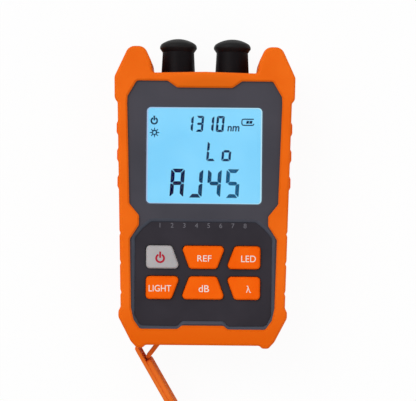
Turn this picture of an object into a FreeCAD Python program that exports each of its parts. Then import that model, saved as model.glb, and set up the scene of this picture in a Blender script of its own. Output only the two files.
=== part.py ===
import FreeCAD
import Part
import Sketcher
import math
import os
import re

# Hand-held optical power meter in a rubber boot. Millimetres.
# +X right and +Y towards the fibre ports, both seen from the display; +Z out of the display.
# The origin is the middle of the plane the boot lies on.

doc = FreeCAD.newDocument("power_meter")
sheet = doc.addObject("Spreadsheet::Sheet", "Sizes")

SIZES = [
    ("thickness", 34.0, "whole meter, back of the boot to its front"),
    ("body_low_x", 36.9, "half width of the boot above its feet"),
    ("body_high_x", 39.15, "half width of the boot below its top bumpers"),
    ("body_low_y", -49.4, "lower end of the straight sides"),
    ("body_high_y", 42.4, "upper end of the straight sides"),
    ("foot_y", -67.7, "feet"),
    ("top_y", 55.8, "top edge beside the horns"),
    ("horn_y", 67.7, "tips of the two horns"),
    ("crown_rise", 0.6, "the top edge's middle above its ends"),
    ("pinch_y", -9.75, "middle of the waist in the front opening"),
    ("low_tab_x", 9.4, "half width of the boot's lower tab"),
    ("high_tab_x", 12.4, "half width of the boot's upper tab"),
    ("lip", 1.6, "boot lips over the housing, front and back"),
    ("boot_wall", 2.4, "boot side wall"),
    ("base_wall", 2.8, "boot bottom wall, between the feet"),
    ("top_wall", 2.4, "boot top wall"),
    ("rim_round", 1.5, "rounding of the boot's front rim"),
    ("corner_round", 1.6, "boot outline corners and the front opening"),
    ("horn_round", 4.2, "tips of the horns"),
    ("bumper_round", 3.2, "bumpers and heels"),
    ("back_bevel", 1.2, "edge of the boot's back"),
    ("opening_bevel", 0.7, "edge of the front opening"),
    ("cap_hole_play", 0.5, "gap between a dust cap and the boot"),
    ("grip_height", 0.6, "side grips, outwards"),
    ("grip_half", 3.2, "half length of a side grip"),
    ("grip_ramp", 1.3, "length of its sloping ends"),
    ("grip_root", 0.8, "how deep a side grip starts in the wall"),
    ("grip_inset", 1.7, "side grips, from front and back"),
    ("grip_top_y", 30.9, "first side grip"),
    ("grip_pitch", 12.1, "side grip to side grip"),
    ("notch_depth", 0.5, "side notches, inwards"),
    ("notch_half", 2.6, "half width of a side notch at its cutter's outer face"),
    ("notch_top_y", -16.3, "first side notch"),
    ("notch_pitch", 13.3, "side notch to side notch"),
    ("bay_low_z", 5.5, "socket bay in the boot's bottom wall, back side"),
    ("bay_high_z", 24.1, "socket bay, front side"),
    ("bay_inset", 1.0, "socket bay, from the feet"),
    ("bay_slant", 4.5, "run of the bay's slanting end, where the strap leaves"),
    ("rear_lip", 2.3, "rear opening, from the housing's sides"),
    ("rear_low_lip", 8.3, "rear opening, from the housing's bottom"),
    ("rear_high_lip", 1.7, "rear opening, from the housing's top"),
    ("rear_round", 4.0, "rear opening corners"),
    ("parting_z", 17.0, "plane where the two housing halves meet"),
    ("housing_wall", 2.2, "housing side walls and back"),
    ("housing_face", 3.0, "housing front wall"),
    ("housing_corner_rise", 8.7, "height of the housing's lower corners"),
    ("housing_corner_run", 4.7, "width of the same corners"),
    ("housing_chamfer", 6.2, "housing top corners"),
    ("inset_low", 0.60, "share of the wall by which a lower inner corner moves in"),
    ("inset_side", 0.24, "share for the corner above it"),
    ("inset_high", 0.41, "share for the top corners"),
    ("field_inset", 8.0, "shallow field on the back, from the rear opening"),
    ("field_end_inset", 15.0, "the same, from its ends"),
    ("field_depth", 0.5, "depth of the field"),
    ("window_side", 13.2, "boot side to display window"),
    ("window_top", 15.4, "boot top to display window"),
    ("window_base", 8.25, "keypad recess to display window"),
    ("window_round", 1.9, "display window corners"),
    ("lens_lap", 1.85, "lens beyond the window on each side"),
    ("lens_skin", 1.0, "housing left in front of the lens"),
    ("lens_thick", 1.2, "window lens"),
    ("lens_play", 0.2, "play round the lens and the display"),
    ("display_lap", 1.75, "display glass beyond the window"),
    ("display_thick", 2.2, "display glass"),
    ("backlight_thick", 4.8, "backlight"),
    ("frame_width", 1.9, "display frame"),
    ("panel_depth", 1.5, "keypad recess below the housing front"),
    ("panel_thick", 0.5, "keypad overlay"),
    ("panel_bevel", 1.4, "sloping border round the keypad recess"),
    ("panel_round", 2.4, "corners of that recess"),
    ("key_side_x", 25.6, "outer edge of the keys, from the middle"),
    ("key_wide_x", 9.9, "half the long edge of a middle key"),
    ("key_narrow_x", 6.1, "half its short edge"),
    ("key_space", 4.3, "key to key across"),
    ("key_height", 10.2, "key, along the meter"),
    ("key_row_high_y", -21.85, "top of the first row of keys"),
    ("key_row_pitch", 13.75, "row to row"),
    ("key_play", 0.35, "gap round each key"),
    ("key_round", 1.7, "key corners"),
    ("key_bevel", 0.6, "bevel round the key tops"),
    ("key_rise", 0.9, "key tops above the housing front"),
    ("key_travel", 0.8, "how far a key goes in"),
    ("key_flange", 0.8, "retaining flange round each key"),
    ("key_flange_thick", 0.9, "its thickness"),
    ("key_flange_gap", 0.1, "its gap to the housing"),
    ("board_depth", 10.2, "board below the housing front"),
    ("board_thick", 1.6, "board thickness"),
    ("board_play", 0.6, "board edge to housing wall"),
    ("board_end_play", 0.3, "board ends to the housing's bottom and the fibre modules"),
    ("board_boss_play", 0.65, "board to the lower screw bosses"),
    ("mat_thick", 1.2, "keypad mat"),
    ("mat_margin", 0.7, "mat beyond the keys"),
    ("dome_radius", 2.6, "domes of the mat"),
    ("boss_radius", 3.25, "screw bosses"),
    ("boss_high_inset", 10.7, "upper housing screws, from the boot's side"),
    ("boss_high_drop", 5.0, "upper housing screws, below the housing's top"),
    ("boss_low_inset", 9.8, "lower housing screws, from the boot's side"),
    ("boss_low_rise", 12.4, "lower housing screws, above the housing's bottom"),
    ("boss_root", 0.2, "how far bosses reach into the wall they stand on"),
    ("pilot_radius", 1.05, "pilot holes for the housing screws"),
    ("pilot_depth", 9.0, "their depth"),
    ("screw_hole_radius", 1.75, "through holes for the housing screws"),
    ("screw_radius", 1.0, "housing screw shank"),
    ("screw_head_radius", 2.7, "housing screw head"),
    ("screw_head_thick", 1.8, "the same"),
    ("screw_tip_gap", 1.0, "screw end to the bottom of its pilot hole"),
    ("socket_radius", 1.2, "recess for the driver, flat to flat half"),
    ("counterbore_radius", 3.0, "room for the screw heads"),
    ("counterbore_depth", 3.0, "its depth from the back"),
    ("board_boss_radius", 2.2, "bosses over the board"),
    ("board_boss_inset", 7.2, "board bosses, from the boot's side"),
    ("board_boss_rise", 9.0, "upper board bosses above the keys"),
    ("board_boss_drop", 6.0, "lower board bosses below the second row's top"),
    ("board_pilot_radius", 0.75, "pilot holes in the board bosses"),
    ("board_pilot_depth", 6.0, "their depth"),
    ("board_screw_radius", 0.7, "board screw shank"),
    ("board_screw_play", 0.3, "board holes round the screws"),
    ("board_screw_head_radius", 1.8, "board screw head"),
    ("board_screw_head_thick", 1.2, "the same"),
    ("board_screw_end_gap", 1.0, "board screw end to the bottom of its pilot"),
    ("digit_rise", 9.2, "row of wire lights above the keys"),
    ("digit_pitch", 5.48, "light to light"),
    ("digit_row_x", -0.4, "middle of the row"),
    ("light_half_x", 0.8, "half width of a wire light"),
    ("light_half_y", 0.6, "half height of a wire light"),
    ("light_play", 0.7, "light slot round the lights"),
    ("light_gap", 0.4, "wire lights below the overlay"),
    ("port_x", 12.4, "fibre ports, from the middle"),
    ("port_radius", 5.5, "fibre port barrel"),
    ("port_reach", 13.1, "barrel beyond the housing"),
    ("port_wall", 1.1, "barrel wall"),
    ("port_floor", 2.0, "bottom of the barrel above the housing"),
    ("port_wall_play", 0.3, "barrels in the housing wall"),
    ("ferrule_radius", 1.25, "bore for the ferrule"),
    ("sleeve_radius", 2.3, "tube round that bore"),
    ("sleeve_drop", 0.8, "end of the tube below the barrel's end"),
    ("bore_length", 14.0, "depth of the bore"),
    ("port_flange", 1.4, "flange beyond the barrel, behind the wall"),
    ("port_flange_thick", 2.0, "the same"),
    ("module_radius", 5.6, "module behind a port"),
    ("module_length", 6.5, "module behind the wall"),
    ("cap_play", 0.06, "dust cap on its barrel"),
    ("cap_gap", 0.3, "dust cap above the housing"),
    ("cap_base_radius", 7.9, "dust cap at the open end"),
    ("cap_body_radius", 7.25, "dust cap under its head"),
    ("cap_neck", 13.1, "foot of the head above the housing"),
    ("cap_head_radius", 8.5, "head"),
    ("cap_rim_height", 3.4, "foot of the head to the edge of its dome"),
    ("cap_dome", 2.85, "dome above that edge"),
    ("cap_end_gap", 0.5, "end of the cap's bore above the barrel"),
    ("cap_under", 1.8, "height of the head's sloping underside"),
    ("cap_rim_round", 2.4, "rounding of the head's rim"),
    ("cap_under_round", 0.8, "rounding below that rim"),
    ("torch_radius", 2.5, "torch lens"),
    ("torch_play", 0.3, "holes round the torch lens"),
    ("torch_reach", 2.7, "torch lens beyond the housing"),
    ("torch_dome", 0.8, "dome of the torch lens"),
    ("torch_flange", 0.9, "torch lens flange behind the wall"),
    ("torch_depth", 4.0, "torch lens behind the wall"),
    ("jack_x", -9.4, "network socket"),
    ("jack_half", 7.75, "half width of its body"),
    ("jack_length", 20.8, "length of its body"),
    ("jack_height", 13.4, "height of its body"),
    ("socket_inset", 0.3, "sockets behind the housing's bottom face"),
    ("plug_half", 5.95, "half width of its opening"),
    ("plug_floor", 1.7, "wall under its opening"),
    ("plug_height", 6.9, "opening for the plug"),
    ("plug_depth", 13.8, "depth of the opening"),
    ("latch_half", 3.1, "half width of the latch channel"),
    ("latch_height", 1.5, "its height"),
    ("hook_half", 1.7, "half width of the hook channel"),
    ("hook_height", 1.6, "its height"),
    ("contact_pitch", 1.02, "contact to contact"),
    ("contact_half", 0.2, "half width of a contact"),
    ("contact_rise", 1.6, "free end of a contact above the floor"),
    ("contact_thick", 0.4, "contact"),
    ("contact_start", 4.4, "free end of a contact, from the mouth"),
    ("usb_x", 12.9, "charging socket"),
    ("usb_half", 4.47, "half width of its shell"),
    ("usb_height", 3.16, "height of its shell"),
    ("usb_length", 7.2, "length of its shell"),
    ("usb_wall", 0.3, "shell sheet"),
    ("usb_round", 1.55, "shell corners"),
    ("usb_corner", 0.75, "corner cut of the opening"),
    ("usb_back", 0.8, "closed end of the shell"),
    ("tongue_half", 3.35, "half width of its tongue"),
    ("tongue_half_thick", 0.35, "half thickness of its tongue"),
    ("tongue_inset", 0.5, "tongue behind the mouth"),
    ("socket_play", 0.25, "gap round the sockets in the housing"),
    ("battery_half_x", 17.0, "half width of the battery"),
    ("battery_y", -9.5, "middle of the battery"),
    ("battery_half_y", 26.5, "half length of the battery"),
    ("battery_thick", 6.0, "battery"),
    ("chip_half", 5.0, "half width of the processor"),
    ("chip_y", 8.0, "middle of the processor"),
    ("chip_thick", 1.4, "processor"),
    ("hinge_inset", 7.1, "strap's bend, from the foot"),
    ("hinge_depth", 1.2, "strap's bend below the housing"),
    ("strap_length", 10.6, "strap, bend to bend"),
    ("strap_half_thick", 0.95, "half thickness of the strap"),
    ("strap_half_width", 4.0, "half width of the strap"),
    ("strap_angle", 233.0, "direction of the hanging strap, degrees"),
    ("flap_angle", -59.8, "direction of the hanging flap, degrees"),
    ("flap_side_gap", 0.8, "shut flap to the bay's sides"),
    ("flap_end_gap", 0.7, "shut flap to the bay's end"),
    ("flap_drop", 3.3, "bend to the flap's outer face"),
    ("flap_skin", 1.6, "flap plate"),
    ("flap_tip", 6.8, "flap behind the bend"),
    ("flap_block_gap", 0.35, "thick part of the flap, from the strap"),
    ("flap_block_top", 0.6, "its height above the bend"),
    ("flap_block_inset", 0.7, "thick part, from the plate's edges"),
    ("flap_round", 2.0, "flap corners"),
    ("flap_bevel", 0.5, "flap edges"),
]

# Corners of the outlines, right-hand side, from the bottom up, seen from the front:
# name, the size that x is counted from, the step from it, and the same for y.
CORNERS = {
    "boot": [
        ("foot_step", "body_low_x", -11.3, "foot_y", 1.25),
        ("foot_inner", "body_low_x", -10.1, "foot_y", 0),
        ("foot_outer", "body_low_x", -7.3, "foot_y", 0),
        ("heel", "body_low_x", -4.6, "foot_y", 3.0),
        ("corner_low", "body_low_x", 0.95, "body_low_y", -4.6),
        ("corner_high", "body_low_x", 0.95, "body_low_y", -2.0),
        ("waist", "body_low_x", 0, "body_low_y", 0),
        ("shoulder", "body_high_x", 0, "body_high_y", 0),
        ("bumper", "body_high_x", 1.35, "body_high_y", 1.6),
        ("horn_side", "body_high_x", 1.5, "body_high_y", 11.6),
        ("horn_tip", "body_high_x", -4.85, "horn_y", 0),
        ("horn_nose", "body_high_x", -11.85, "horn_y", 0),
        ("horn_inside", "body_high_x", -14.7, "horn_y", -6.1),
        ("horn_root", "body_high_x", -15.5, "top_y", 0),
    ],
    "opening": [
        ("tab_low", "low_tab_x", 0, "foot_y", 10.1),
        ("foot_near", "low_tab_x", 1.9, "foot_y", 8.5),
        ("foot_far", "body_low_x", -8.8, "foot_y", 8.5),
        ("foot_side", "body_low_x", -5.9, "foot_y", 12.5),
        ("side_low", "body_low_x", -4.7, "body_low_y", -0.4),
        ("pinch_low", "body_low_x", -3.9, "pinch_y", -9.15),
        ("pinch_in_low", "body_low_x", -7.9, "pinch_y", -2.9),
        ("pinch_in_high", "body_low_x", -7.9, "pinch_y", 1.35),
        ("pinch_high", "body_low_x", -3.5, "pinch_y", 6.75),
        ("side_high", "body_high_x", -4.35, "body_high_y", -0.4),
        ("head_side", "body_high_x", -4.45, "body_high_y", 2.8),
        ("head_far", "body_high_x", -8.55, "top_y", -3.6),
        ("head_near", "high_tab_x", 4.3, "top_y", -3.6),
        ("tab_high", "high_tab_x", 0, "top_y", -6.6),
    ],
    "panel": [
        ("tab_side", "low_tab_x", -0.1, "foot_y", 12.2),
        ("low_near", "low_tab_x", 2.1, "foot_y", 9.8),
        ("low_far", "body_low_x", -8.6, "foot_y", 10.0),
        ("side_low", "body_low_x", -6.3, "body_low_y", -3.6),
        ("side_mid", "body_low_x", -6.3, "pinch_y", -12.25),
        ("side_high", "body_low_x", -6.1, "pinch_y", -8.65),
        ("high_far", "body_low_x", -9.5, "pinch_y", -4.6),
        ("high_near", "body_low_x", -13.3, "pinch_y", -1.4),
    ],
}

ALIASES = set()


def enter(alias, value, note):
    row = len(ALIASES) + 1
    sheet.set("A%d" % row, alias)
    sheet.set("B%d" % row, str(value))
    sheet.set("C%d" % row, note)
    sheet.setAlias("B%d" % row, alias)
    ALIASES.add(alias)


for alias, value, note in SIZES:
    enter(alias, value, note)
for outline_name, corners in CORNERS.items():
    for corner, x_base, x_step, y_base, y_step in corners:
        for axis, step in (("x", x_step), ("y", y_step)):
            if step:
                enter("%s_%s_%s" % (outline_name, corner, axis), step, "step to an outline corner")
doc.recompute()
work = doc.addObject("Spreadsheet::Sheet", "Work")


def bound(text):
    """A formula over the sheet, as an object's expression."""
    return re.sub(r"[a-z][a-z_]*",
                  lambda word: "Sizes." + word.group(0) if word.group(0) in ALIASES else word.group(0),
                  text)


def number(text):
    """The value of the same formula."""
    work.set("A1", "=" + bound(text))
    work.recompute()
    return float(work.get("A1"))


def new_body(label):
    body = doc.addObject("PartDesign::Body", label)
    body.Label = label
    body.AllowCompound = True
    return body


def new_sketch(body, name, plane, shift):
    support = [part for part in body.Origin.OriginFeatures if part.Role == plane + "_Plane"][0]
    sketch = body.newObject("Sketcher::SketchObject", name)
    sketch.AttachmentSupport = [(support, "")]
    sketch.MapMode = "FlatFace"
    for axis, text in zip("xyz", shift):
        sketch.setExpression(".AttachmentOffset.Base." + axis, bound(text))
    return sketch


def place_point(sketch, geometry, vertex, x, y):
    for kind, axis, text in (("DistanceX", -2, x), ("DistanceY", -1, y)):
        if text == "0":
            sketch.addConstraint(Sketcher.Constraint("PointOnObject", geometry, vertex, axis))
        else:
            rule = sketch.addConstraint(Sketcher.Constraint(kind, -1, 1, geometry, vertex, number(text)))
            sketch.setExpression("Constraints[%d]" % rule, bound(text))


def add_circle(sketch, x, y, radius):
    centre = FreeCAD.Vector(number(x), number(y), 0)
    circle = sketch.addGeometry(Part.Circle(centre, FreeCAD.Vector(0, 0, 1), number(radius)))
    place_point(sketch, circle, 3, x, y)
    size = sketch.addConstraint(Sketcher.Constraint("Radius", circle, number(radius)))
    sketch.setExpression("Constraints[%d]" % size, bound(radius))


def dome_arc(start, end):
    """Arc from start to end, centred on the upright axis."""
    rise = (end.x ** 2 + end.y ** 2 - start.x ** 2 - start.y ** 2) / (2 * (end.y - start.y))
    centre = FreeCAD.Vector(0, rise, 0)
    circle = Part.Circle(centre, FreeCAD.Vector(0, 0, 1), (start - centre).Length)
    first = math.atan2(start.y - rise, start.x)
    last = math.atan2(end.y - rise, end.x)
    return Part.ArcOfCircle(circle, first, last)


def add_loop(sketch, points):
    """Closed outline. A point with a third item, "dome", starts an arc centred on the upright axis."""
    spots = [FreeCAD.Vector(number(point[0]), number(point[1]), 0) for point in points]
    lines = []
    for index, start in enumerate(spots):
        end = spots[(index + 1) % len(spots)]
        if len(points[index]) > 2:
            lines.append(sketch.addGeometry(dome_arc(start, end)))
            sketch.addConstraint(Sketcher.Constraint("PointOnObject", lines[-1], 3, -2))
        else:
            lines.append(sketch.addGeometry(Part.LineSegment(start, end)))
    for index, line in enumerate(lines):
        following = lines[(index + 1) % len(lines)]
        sketch.addConstraint(Sketcher.Constraint("Coincident", line, 2, following, 1))
        place_point(sketch, line, 1, points[index][0], points[index][1])


def fill(sketch, loops):
    for loop in loops:
        if loop[0] == "circle":
            add_circle(sketch, loop[1], loop[2], loop[3])
        else:
            add_loop(sketch, loop)
    sketch.recompute()


def extrude(body, name, loops, start, end, plane="XY", cut=False):
    """Adds or cuts the loops from start to end along the plane's axis."""
    offset = "-(%s)" % end if plane == "XZ" else start
    sketch = new_sketch(body, name + "_outline", plane, ("0", "0", offset))
    fill(sketch, loops)
    feature = body.newObject("PartDesign::Pocket" if cut else "PartDesign::Pad", name)
    feature.Profile = sketch
    feature.Reversed = cut
    feature.setExpression("Length", bound("(%s) - (%s)" % (end, start)))
    feature.recompute()
    return feature


def turn(body, name, loop, across, height, plane="XY"):
    """Adds the loop turned about the sketch's upright axis."""
    shift = (across, "0", height) if plane == "XY" else (across, "0", "-(%s)" % height)
    sketch = new_sketch(body, name + "_outline", plane, shift)
    fill(sketch, [loop])
    feature = body.newObject("PartDesign::Revolution", name)
    feature.Profile = sketch
    feature.ReferenceAxis = (sketch, ["V_Axis"])
    feature.Angle = 360
    feature.recompute()
    return feature


def finish_edges(body, name, chosen, size, kind="Fillet"):
    base = body.Tip
    names = ["Edge%d" % (index + 1) for index, edge in enumerate(base.Shape.Edges) if chosen(edge)]
    if not names:
        raise RuntimeError("no edges for " + name)
    feature = body.newObject("PartDesign::" + kind, name)
    feature.Base = (base, names)
    feature.setExpression("Radius" if kind == "Fillet" else "Size", bound(size))
    feature.recompute()
    return feature


NEAR = 0.02
FAR = 1e6


def line_along(axis, places, low=-FAR, high=FAR):
    """Straight edges along an axis, Y or Z, at the given places in the other two."""
    def chosen(edge):
        if len(edge.Vertexes) != 2:
            return False
        ends = [vertex.Point for vertex in edge.Vertexes]
        if axis == "z":
            spots = [((end.x, end.y), end.z) for end in ends]
        else:
            spots = [((end.x, end.z), end.y) for end in ends]
        (first, first_level), (second, second_level) = spots
        if math.dist(first, second) > NEAR or abs(first_level - second_level) < NEAR:
            return False
        if min(first_level, second_level) < low - NEAR or max(first_level, second_level) > high + NEAR:
            return False
        return any(math.dist(first, place) < NEAR for place in places)
    return chosen


def upright_at(spots, low="", high=""):
    places = [(number(x), number(y)) for x, y in spots]
    return line_along("z", places, number(low) if low else -FAR, number(high) if high else FAR)


def level_at(height, region=None):
    """Edges lying in a plane across Z, inside a region given as half width, low y and high y."""
    level = number(height)
    limits = [number(text) for text in region] if region else None

    def chosen(edge):
        box = edge.BoundBox
        if abs(box.ZMin - level) > NEAR or abs(box.ZMax - level) > NEAR:
            return False
        if not limits:
            return True
        middle = box.Center
        return abs(middle.x) <= limits[0] and limits[1] <= middle.y <= limits[2]
    return chosen


def ring_at(height, radius):
    """The full circle across Y at a height, of at least the radius."""
    level = number(height)
    least = 2 * number(radius) - NEAR

    def chosen(edge):
        box = edge.BoundBox
        return abs(box.YMin - level) < NEAR and abs(box.YMax - level) < NEAR and box.XLength > least
    return chosen


def corner_of(outline_name, corner):
    for name, x_base, x_step, y_base, y_step in CORNERS[outline_name]:
        if name == corner:
            stem = "%s_%s" % (outline_name, name)
            x = "(%s + %s_x)" % (x_base, stem) if x_step else x_base
            y = "(%s + %s_y)" % (y_base, stem) if y_step else y_base
            return (x, y)
    raise KeyError(corner)


def corners_of(outline_name, names=None):
    return [corner_of(outline_name, corner[0]) for corner in CORNERS[outline_name]
            if names is None or corner[0] in names]


def minus(text):
    return "-(%s)" % text


def both_sides(*spots):
    return list(spots) + [(minus(x), y) for x, y in spots]


def mirrored(points, top=None):
    return list(points) + ([top] if top else []) + [(minus(x), y) for x, y in reversed(points)]


def box_loop(x_low, x_high, y_low, y_high):
    return [(x_low, y_low), (x_high, y_low), (x_high, y_high), (x_low, y_high)]


def middle_box(x_half, y_low, y_high):
    return box_loop(minus(x_half), x_half, y_low, y_high)


def circles(spots, radius):
    return [("circle", x, y, radius) for x, y in spots]


FRONT_Z = "(thickness - lip)"
FLOOR_Z = "(thickness - lip - panel_depth)"
INNER_Z = "(thickness - lip - housing_face)"
BACK_Z = "(lip + housing_wall)"
BOARD_TOP_Z = "(thickness - lip - board_depth)"
BOARD_LOW_Z = "(thickness - lip - board_depth - board_thick)"
FOOT_STEP_X, FOOT_STEP_Y = corner_of("boot", "foot_step")
LOW_Y = "(%s + base_wall)" % FOOT_STEP_Y
HIGH_Y = "(top_y - top_wall)"
WALL_Y = "(%s - housing_wall)" % HIGH_Y
SIDE_LOW_X = "(body_low_x - boot_wall)"
SIDE_HIGH_X = "(body_high_x - boot_wall)"

HOUSING = mirrored([
    (SIDE_LOW_X + " - housing_corner_run", LOW_Y),
    (SIDE_LOW_X, LOW_Y + " + housing_corner_rise"),
    (SIDE_HIGH_X, HIGH_Y + " - housing_chamfer"),
    (SIDE_HIGH_X + " - housing_chamfer", HIGH_Y),
])
CAVITY = mirrored([
    (SIDE_LOW_X + " - housing_corner_run - housing_wall * inset_low", LOW_Y + " + housing_wall"),
    (SIDE_LOW_X + " - housing_wall", LOW_Y + " + housing_corner_rise + housing_wall * inset_side"),
    (SIDE_HIGH_X + " - housing_wall", HIGH_Y + " - housing_chamfer - housing_wall * inset_high"),
    (SIDE_HIGH_X + " - housing_chamfer - housing_wall * inset_high", HIGH_Y + " - housing_wall"),
])
BOSS_HIGH = ("(body_high_x - boss_high_inset)", "(%s - boss_high_drop)" % HIGH_Y)
BOSS_LOW = ("(body_low_x - boss_low_inset)", "(%s + boss_low_rise)" % LOW_Y)
SCREWS = both_sides(BOSS_HIGH, BOSS_LOW)
BOARD_BOSS_X = "(body_low_x - board_boss_inset)"
BOARD_SCREWS = both_sides((BOARD_BOSS_X, "(key_row_high_y + board_boss_rise)"),
                          (BOARD_BOSS_X, "(key_row_high_y - key_row_pitch - board_boss_drop)"))
WINDOW_X = "(body_high_x - window_side)"
WINDOW_HIGH_Y = "(top_y - window_top)"
WINDOW_LOW_Y = "(%s + window_base)" % corner_of("panel", "high_near")[1]
DIGIT_Y = "(key_row_high_y + digit_rise)"


def window_box(*margins):
    """The display window, wider all round by the sum of the margins."""
    more = "".join(" + " + margin for margin in margins)
    less = "".join(" - " + margin for margin in margins)
    return middle_box(WINDOW_X + more, WINDOW_LOW_Y + less, WINDOW_HIGH_Y + more)


# Each key: column and row. The middle keys taper down in the first row and up in the second.
KEYS = {
    "key_power": ("left", 0),
    "key_ref": ("middle", 0),
    "key_led": ("right", 0),
    "key_light": ("left", 1),
    "key_db": ("middle", 1),
    "key_wavelength": ("right", 1),
}


def key_rows(row):
    top = "(key_row_high_y - %d * key_row_pitch)" % row
    return top, "(%s - key_height)" % top


SLANT = "((key_wide_x - key_narrow_x) / key_height)"
SLANT_FAR = "(sqrt(1 + %s * %s) + %s)" % (SLANT, SLANT, SLANT)
SLANT_NEAR = "(sqrt(1 + %s * %s) - %s)" % (SLANT, SLANT, SLANT)


def key_loop(key_name, gap=None):
    """Outline of a key, grown by a gap. A slanting side's ends move by more and by less than the gap."""
    column, row = KEYS[key_name]
    top_y, low_y = key_rows(row)
    edges = []
    for wide in (row == 1, row == 0):
        half = "key_wide_x" if wide else "key_narrow_x"
        middle_share = SLANT_FAR if wide else SLANT_NEAR
        side_share = SLANT_NEAR if wide else SLANT_FAR
        middle_more = " + %s * %s" % (gap, middle_share) if gap else ""
        side_more = " - %s * %s" % (gap, side_share) if gap else ""
        outer_more = " + " + gap if gap else ""
        inner = half + " + key_space" + side_more
        outer = "key_side_x" + outer_more
        ends = {"left": (minus(outer), minus(inner)), "right": (inner, outer),
                "middle": (minus(half + middle_more), half + middle_more)}
        edges.append(ends[column])
    (low_left, low_right), (top_left, top_right) = edges
    low_edge = low_y + (" - " + gap if gap else "")
    top_edge = top_y + (" + " + gap if gap else "")
    return [(low_left, low_edge), (low_right, low_edge), (top_right, top_edge), (top_left, top_edge)]


APERTURES = [key_loop(key_name, "key_play") for key_name in KEYS]
APERTURE_CORNERS = [corner for loop in APERTURES for corner in loop]
PANEL_CORNERS = both_sides(*corners_of("panel", ("tab_side", "low_near", "low_far", "side_low", "side_high",
                                                 "high_near")))


def side_x(height):
    """Half width of the boot's straight side at a height."""
    return "(body_low_x + (body_high_x - body_low_x) * (%s - body_low_y) / (body_high_y - body_low_y))" % height


def side_grips():
    loops = []
    for index in range(3):
        middle = "(grip_top_y - %d * grip_pitch)" % index
        side = side_x(middle)
        low = middle + " - grip_half"
        high = middle + " + grip_half"
        loops.append([(side + " - grip_root", low), (side, low),
                      (side + " + grip_height", low + " + grip_ramp"),
                      (side + " + grip_height", high + " - grip_ramp"),
                      (side, high), (side + " - grip_root", high)])
    return loops


def side_notches():
    loops = []
    for index in range(3):
        middle = "(notch_top_y - %d * notch_pitch)" % index
        side = side_x(middle)
        loops.append([(side + " + notch_depth", middle + " - notch_half"),
                      (side + " + notch_depth", middle + " + notch_half"),
                      (side + " - notch_depth", middle)])
    return loops


def on_both_sides(loops):
    return loops + [[(minus(x), y) for x, y in reversed(loop)] for loop in loops]


def make_boot():
    boot = new_body("boot")
    top = ("0", "top_y + crown_rise")
    extrude(boot, "boot_block", [mirrored(corners_of("boot"), top)], "0", "thickness")
    tips = ("horn_tip", "horn_nose")
    wide = ("heel", "corner_low", "bumper", "horn_side")
    tight = [corner[0] for corner in CORNERS["boot"] if corner[0] not in tips + wide]
    for name, chosen, size in (("tight", tight, "corner_round"), ("wide", wide, "bumper_round"),
                               ("horn", tips, "horn_round")):
        spots = both_sides(*corners_of("boot", chosen))
        finish_edges(boot, "boot_%s_corners" % name, upright_at(spots), size)
    finish_edges(boot, "boot_front_rim", level_at("thickness"), "rim_round")
    finish_edges(boot, "boot_back_rim", level_at("0"), "back_bevel", "Chamfer")
    extrude(boot, "housing_room", [HOUSING], "lip", FRONT_Z, cut=True)
    opening = corners_of("opening")
    extrude(boot, "front_opening", [mirrored(opening)], FRONT_Z, "thickness", cut=True)
    finish_edges(boot, "front_opening_corners", upright_at(both_sides(*opening), low=FRONT_Z), "corner_round")
    region = (corner_of("opening", "side_high")[0] + " + lip / 4",
              corner_of("opening", "foot_far")[1] + " - lip / 4",
              corner_of("opening", "head_far")[1] + " + lip / 4")
    finish_edges(boot, "front_opening_edge", level_at("thickness", region), "opening_bevel", "Chamfer")
    rear = middle_box(SIDE_LOW_X + " - rear_lip", LOW_Y + " + rear_low_lip", HIGH_Y + " - rear_high_lip")
    extrude(boot, "rear_opening", [rear], "0", "lip", cut=True)
    finish_edges(boot, "rear_opening_corners", upright_at(rear, high="lip"), "rear_round")
    extrude(boot, "cap_holes",
            circles(both_sides(("port_x", "parting_z")), "cap_base_radius + cap_hole_play")
            + circles([("0", "parting_z")], "torch_radius + torch_play"),
            HIGH_Y, "top_y + crown_rise + top_wall", plane="XZ", cut=True)
    bay = [(minus(FOOT_STEP_X + " - bay_inset"), "foot_y - top_wall"),
           (FOOT_STEP_X + " - bay_inset", "foot_y - top_wall"),
           (FOOT_STEP_X + " - bay_inset", LOW_Y),
           (minus(FOOT_STEP_X + " - bay_inset - bay_slant"), LOW_Y),
           (minus(FOOT_STEP_X + " - bay_inset"), FOOT_STEP_Y)]
    extrude(boot, "socket_bay", [bay], "bay_low_z", "bay_high_z", cut=True)
    extrude(boot, "side_grips", on_both_sides(side_grips()), "grip_inset", "thickness - grip_inset")
    extrude(boot, "side_notches", on_both_sides(side_notches()), "0", "thickness", cut=True)
    return rear


def cut_wall_holes(body, name):
    """The holes that both housing halves share, on the parting plane."""
    extrude(body, name + "_port_holes",
            circles(both_sides(("port_x", "parting_z")), "port_radius + port_wall_play")
            + circles([("0", "parting_z")], "torch_radius + torch_play"),
            HIGH_Y + " - housing_wall", HIGH_Y, plane="XZ", cut=True)
    extrude(body, name + "_network_hole",
            [box_loop("jack_x - jack_half - socket_play", "jack_x + jack_half + socket_play",
                      BOARD_LOW_Z + " - jack_height - socket_play", BOARD_LOW_Z + " + socket_play")],
            LOW_Y, LOW_Y + " + housing_wall", plane="XZ", cut=True)


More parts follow.
